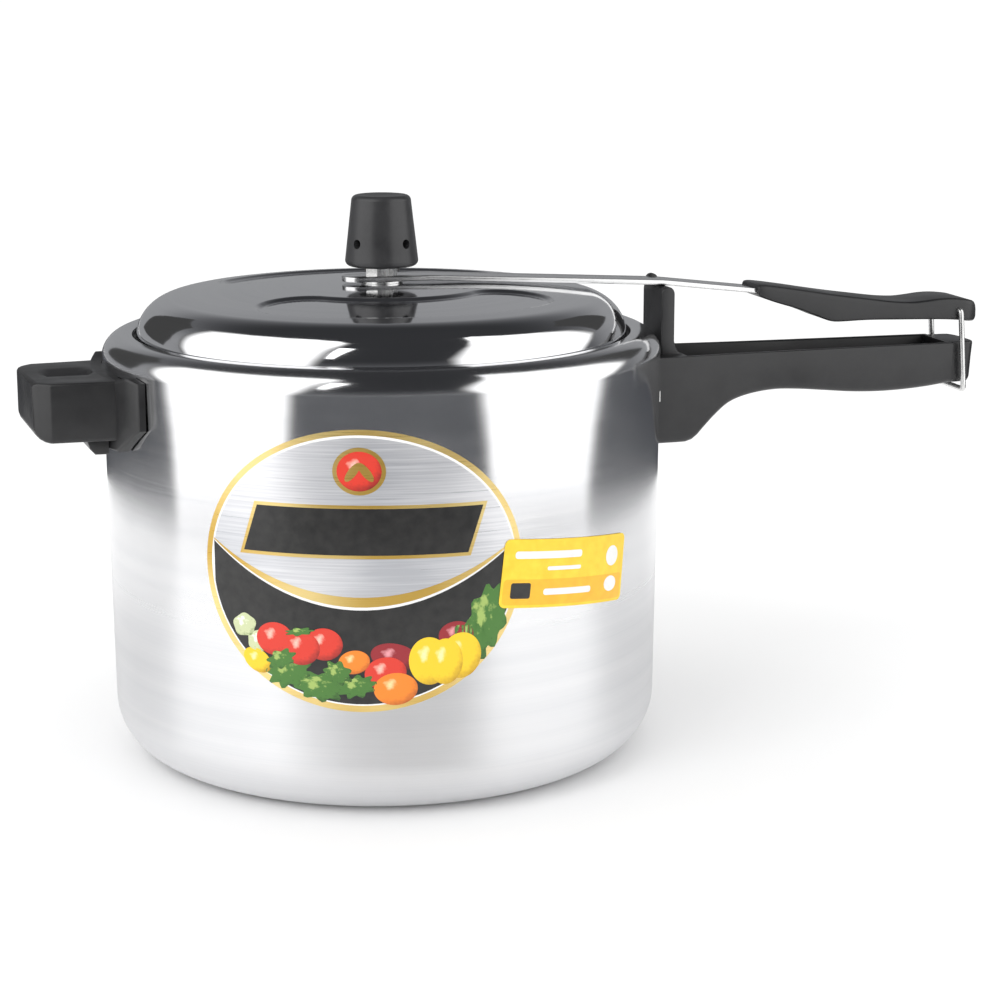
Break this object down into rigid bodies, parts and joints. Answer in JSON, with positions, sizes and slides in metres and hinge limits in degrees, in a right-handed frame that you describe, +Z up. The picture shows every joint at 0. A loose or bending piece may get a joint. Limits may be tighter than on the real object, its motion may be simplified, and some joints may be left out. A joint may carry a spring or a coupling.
{
  "type": "pressure canner",
  "caption": "Polished stovetop pressure canner with an inner lid on a lever bar, a wire lock, a drop-on weight, a long handle and a helper handle.",
  "frame": {"origin": "centre of the underside of the pot's base", "axes": "+Z up along the pot's axis, +X towards the long handle and the lever bar's grip"},
  "size_m": [0.4319, 0.2401, 0.2401],
  "materials": {
    "polished_pot": "circumferentially brushed and polished",
    "polished_lid": "polished",
    "black_mould": "semi-gloss moulded",
    "weight_black": "satin moulded",
    "zinc": "bright zinc",
    "bar_steel": "brushed strip",
    "seal_rubber": "matt",
    "plug_rubber": "matt silicone",
    "label_gold": "printed sticker",
    "label_yellow": "printed sticker"
  },
  "bodies": {
    "pot": {"pot_body": "polished_pot", "long_handle": "black_mould", "long_bracket": "zinc", "long_rivets": "zinc", "long_washer": "zinc", "long_nut": "zinc", "helper_handle": "black_mould", "helper_bracket": "zinc", "helper_rivets": "zinc", "helper_washer": "zinc", "helper_nut": "zinc", "label_oval": "label_gold", "label_care": "label_yellow"},
    "lid": {"lid_shell": "polished_lid", "gasket": "seal_rubber", "vent_pipe": "zinc", "vent_spacer": "zinc", "vent_nut": "zinc", "vent_seal": "seal_rubber", "vent_locknut": "zinc", "safety_plug": "plug_rubber", "plug_pin": "zinc", "lever_bar": "bar_steel", "upper_grip": "black_mould", "grip_screws": "zinc"},
    "bail": {"lock_wire": "zinc"},
    "weight": {"weight_cap": "weight_black", "weight_core": "zinc", "weight_needle": "zinc"}
  },
  "joints": [
    {"name": "lid_lever", "type": "hinge", "parent": "pot", "child": "lid", "pos_m": [0.12615, 0, 0.19435], "axis": [0, -1, 0], "range_deg": [0, 5]},
    {"name": "lock_wire_swing", "type": "hinge", "parent": "lid", "child": "bail", "pos_m": [0.266, 0, 0.1824], "axis": [0, -1, 0], "range_deg": [0, 90]},
    {"name": "weight_lift", "type": "slide", "parent": "lid", "child": "weight", "axis": [0, 0, 1], "range_m": [0, 0.035]}
  ],
  "couplings": [
    {"joint": "lock_wire_swing", "follows": "lid_lever", "ratio": 18}
  ]
}
